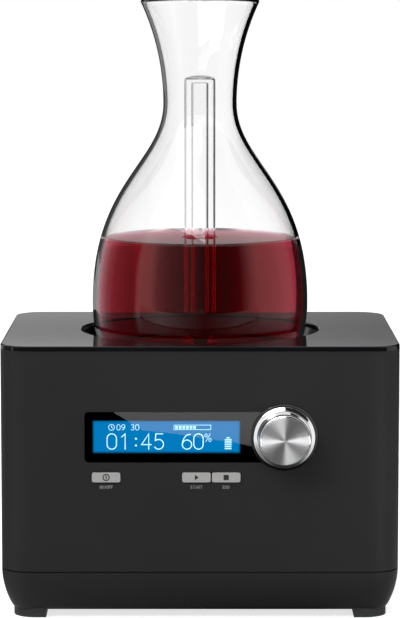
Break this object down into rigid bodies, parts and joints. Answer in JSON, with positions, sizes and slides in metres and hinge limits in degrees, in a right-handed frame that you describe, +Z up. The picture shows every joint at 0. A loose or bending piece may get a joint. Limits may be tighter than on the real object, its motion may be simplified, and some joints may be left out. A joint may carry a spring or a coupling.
{
  "type": "electric wine decanter",
  "caption": "Electric wine decanter: flared glass decanter with a bubbler tube in the well of a powered base with display, buttons, dial and an air pump inside.",
  "frame": {"origin": "bottom centre of the bounding box: on the table under the middle of the base, with the knob counted", "axes": "+Z up along the decanter's axis, -Y out of the front panel, +X to the right seen from the front"},
  "size_m": [0.2454, 0.202, 0.3793],
  "materials": {
    "soft_shell": "soft-touch matte dark grey",
    "gloss_black": "polished black",
    "rubber_black": "matte black rubber",
    "screw_steel": "plain steel",
    "lens_smoke": "clear polished acrylic",
    "mask_black": "black moulded plastic",
    "lcd_blue": "backlit blue display glass",
    "light_plastic": "pale plastic",
    "board_green": "green circuit board",
    "button_grey": "silver grey satin plastic",
    "knob_chrome": "polished chrome",
    "spun_aluminium": "concentric spun finish",
    "silicone": "translucent silicone",
    "foam": "open-cell filter foam",
    "core_steel": "laminated steel",
    "copper": "enamelled copper winding",
    "lead_black": "black sheathed lead",
    "lead_red": "red sheathed lead",
    "clear_glass": "clear blown glass"
  },
  "bodies": {
    "base": {"main_shell": "soft_shell", "base_tub": "soft_shell", "top_plate": "gloss_black", "decanter_well": "gloss_black", "seat_ring": "rubber_black", "feet": "rubber_black", "housing_screws": "screw_steel", "display_lens": "lens_smoke", "display_mask": "mask_black", "lcd_panel": "lcd_blue", "lcd_backlight": "light_plastic", "display_board": "board_green", "switch_bodies": "mask_black", "encoder_body": "screw_steel", "encoder_nut": "screw_steel", "knob_ring": "gloss_black", "air_nozzle": "screw_steel", "nozzle_seal": "silicone", "nozzle_nut": "screw_steel", "supply_hose": "silicone", "check_valve": "light_plastic", "outlet_hose": "silicone", "intake_hose": "silicone", "filter_canister": "mask_black", "filter_cap": "mask_black", "filter_cartridge": "foam", "pump_chassis": "mask_black", "pump_core": "core_steel", "pump_coil": "copper", "pivot_pin": "screw_steel", "diaphragm": "rubber_black", "valve_chamber": "mask_black", "valve_cover": "mask_black", "pump_mounts": "rubber_black", "pump_screws": "screw_steel", "control_board": "board_green", "board_parts": "mask_black", "board_screws": "screw_steel", "dc_inlet": "mask_black", "dc_nut": "screw_steel", "dc_lead": "lead_black", "pump_lead": "lead_red", "display_ribbon": "light_plastic"},
    "decanter_glass": {"decanter_bottom": "clear_glass", "decanter_bowl": "clear_glass", "decanter_shoulder": "clear_glass", "decanter_neck": "clear_glass", "standpipe": "clear_glass"},
    "bubbler": {"bubbler_tube": "clear_glass"},
    "knob": {"knob_skirt": "knob_chrome", "knob_face": "spun_aluminium", "encoder_shaft": "screw_steel"},
    "power_key": {"power_button": "button_grey", "power_plunger": "mask_black"},
    "play_key": {"play_button": "button_grey", "play_plunger": "mask_black"},
    "stop_key": {"stop_button": "button_grey", "stop_plunger": "mask_black"},
    "pump_swing": {"pump_arm": "screw_steel", "arm_magnets": "core_steel"}
  },
  "joints": [
    {"name": "decanter_lift", "type": "slide", "parent": "base", "child": "decanter_glass", "axis": [0, 0, 1], "range_m": [0, 0.12]},
    {"name": "bubbler_lift", "type": "slide", "parent": "decanter_glass", "child": "bubbler", "axis": [0, 0, 1], "range_m": [0, 0.22]},
    {"name": "knob_turn", "type": "hinge", "parent": "base", "child": "knob", "pos_m": [0.0515, -0.085, 0.1137], "axis": [0, -1, 0], "continuous": true},
    {"name": "power_press", "type": "slide", "parent": "base", "child": "power_key", "axis": [0, 1, 0], "range_m": [0, 0.0008], "stiffness_N_per_m": 400},
    {"name": "play_press", "type": "slide", "parent": "base", "child": "play_key", "axis": [0, 1, 0], "range_m": [0, 0.0008], "stiffness_N_per_m": 400},
    {"name": "stop_press", "type": "slide", "parent": "base", "child": "stop_key", "axis": [0, 1, 0], "range_m": [0, 0.0008], "stiffness_N_per_m": 400},
    {"name": "pump_arm_swing", "type": "hinge", "parent": "base", "child": "pump_swing", "pos_m": [-0.053, -0.031, 0.0356], "axis": [0, 0, 1], "range_deg": [-2.5, 2.5], "stiffness_Nm_per_rad": 0.5, "deforming": ["diaphragm"]}
  ]
}
